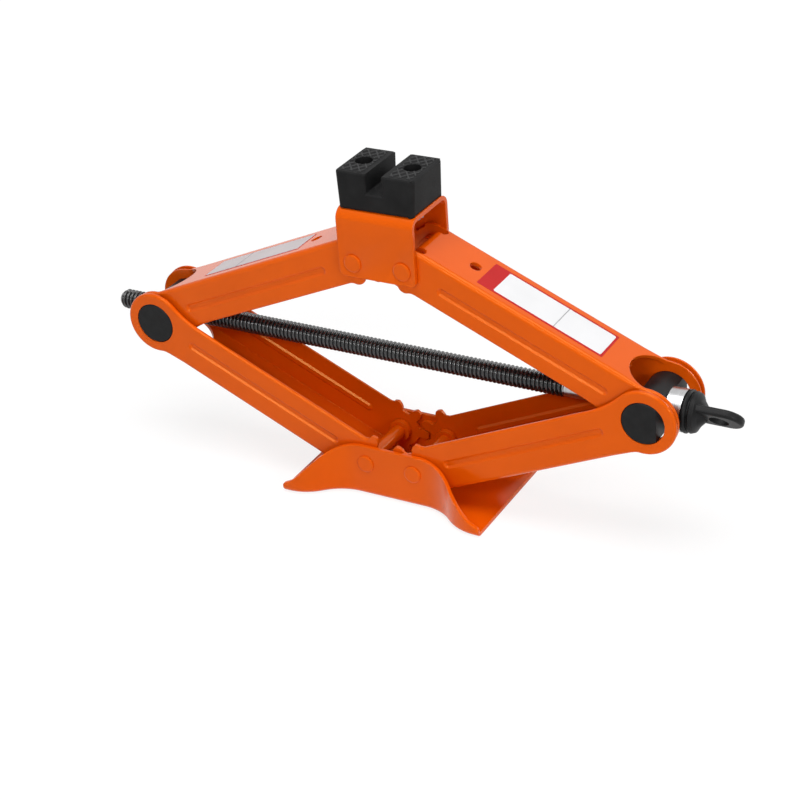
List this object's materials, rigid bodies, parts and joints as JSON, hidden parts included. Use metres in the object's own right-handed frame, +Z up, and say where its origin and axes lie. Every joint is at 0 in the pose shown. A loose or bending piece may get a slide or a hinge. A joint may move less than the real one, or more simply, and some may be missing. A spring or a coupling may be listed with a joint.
{
  "type": "scissor jack",
  "caption": "Car scissor jack: orange pressed-steel arms with meshing toothed ends, cross screw with drive eye, flared base and slotted rubber pad on the saddle.",
  "frame": {"origin": "on the ground, under the middle of the base", "axes": "+X along the screw towards the drive eye, +Y across the jack, +Z up"},
  "size_m": [0.4644, 0.0936, 0.2348],
  "materials": {
    "orange_paint": "semi-gloss enamel",
    "black_steel": "black oxide",
    "screw_steel": "dark rolled thread, bright shank",
    "bright_steel": "ground",
    "black_rubber": "matt moulded",
    "zinc_steel": "zinc plated"
  },
  "bodies": {
    "base": {"base": "orange_paint", "base_pin_left": "orange_paint", "base_pin_right": "orange_paint", "base_collars": "orange_paint"},
    "lower_arm_left": {"lower_arm_left": "orange_paint"},
    "lower_arm_right": {"lower_arm_right": "orange_paint"},
    "upper_arm_left": {"upper_arm_left": "orange_paint"},
    "upper_arm_right": {"upper_arm_right": "orange_paint"},
    "nut_trunnion": {"nut_trunnion": "black_steel"},
    "thrust_trunnion": {"thrust_trunnion": "black_steel", "bearing_cover": "bright_steel", "bearing_race_fixed": "bright_steel", "bearing_balls": "bright_steel"},
    "screw": {"lead_screw": "screw_steel", "bearing_race_turning": "bright_steel", "drive_eye": "black_steel", "roll_pin": "bright_steel"},
    "saddle": {"saddle_bracket": "orange_paint", "top_pin_left": "orange_paint", "top_pin_right": "orange_paint", "top_collars": "orange_paint", "rubber_pad": "black_rubber", "pad_screws": "zinc_steel", "pad_nuts": "zinc_steel"}
  },
  "joints": [
    {"name": "lift", "type": "hinge", "parent": "base", "child": "lower_arm_right", "pos_m": [0.018, 0, 0.0252], "axis": [0, -1, 0], "range_deg": [-18.24, 35.76]},
    {"name": "lower_left_swing", "type": "hinge", "parent": "base", "child": "lower_arm_left", "pos_m": [-0.018, 0, 0.0252], "axis": [0, 1, 0], "range_deg": [-18.24, 35.76]},
    {"name": "upper_right_fold", "type": "hinge", "parent": "lower_arm_right", "child": "upper_arm_right", "pos_m": [0.18213, 0, 0.0991], "axis": [0, 1, 0], "range_deg": [-36.48, 71.52]},
    {"name": "upper_left_fold", "type": "hinge", "parent": "lower_arm_left", "child": "upper_arm_left", "pos_m": [-0.18213, 0, 0.0991], "axis": [0, -1, 0], "range_deg": [-36.48, 71.52]},
    {"name": "thrust_trunnion_turn", "type": "hinge", "parent": "lower_arm_right", "child": "thrust_trunnion", "pos_m": [0.18213, 0, 0.0991], "axis": [0, 1, 0], "range_deg": [-18.24, 35.76]},
    {"name": "nut_trunnion_turn", "type": "hinge", "parent": "lower_arm_left", "child": "nut_trunnion", "pos_m": [-0.18213, 0, 0.0991], "axis": [0, -1, 0], "range_deg": [-18.24, 35.76]},
    {"name": "saddle_level", "type": "hinge", "parent": "upper_arm_right", "child": "saddle", "pos_m": [0.018, 0, 0.173], "axis": [0, -1, 0], "range_deg": [-18.24, 35.76]},
    {"name": "screw_turn", "type": "hinge", "parent": "thrust_trunnion", "child": "screw", "pos_m": [0.18213, 0, 0.0991], "axis": [1, 0, 0], "range_deg": [-14147.3, 7216.07]}
  ],
  "couplings": [
    {"joint": "lower_left_swing", "follows": "lift", "ratio": 1},
    {"joint": "upper_right_fold", "follows": "lift", "ratio": 2},
    {"joint": "upper_left_fold", "follows": "lift", "ratio": 2},
    {"joint": "thrust_trunnion_turn", "follows": "lift", "ratio": 1},
    {"joint": "nut_trunnion_turn", "follows": "lift", "ratio": 1},
    {"joint": "saddle_level", "follows": "lift", "ratio": 1},
    {"joint": "screw_turn", "follows": "lift", "ratio": -395.62}
  ]
}
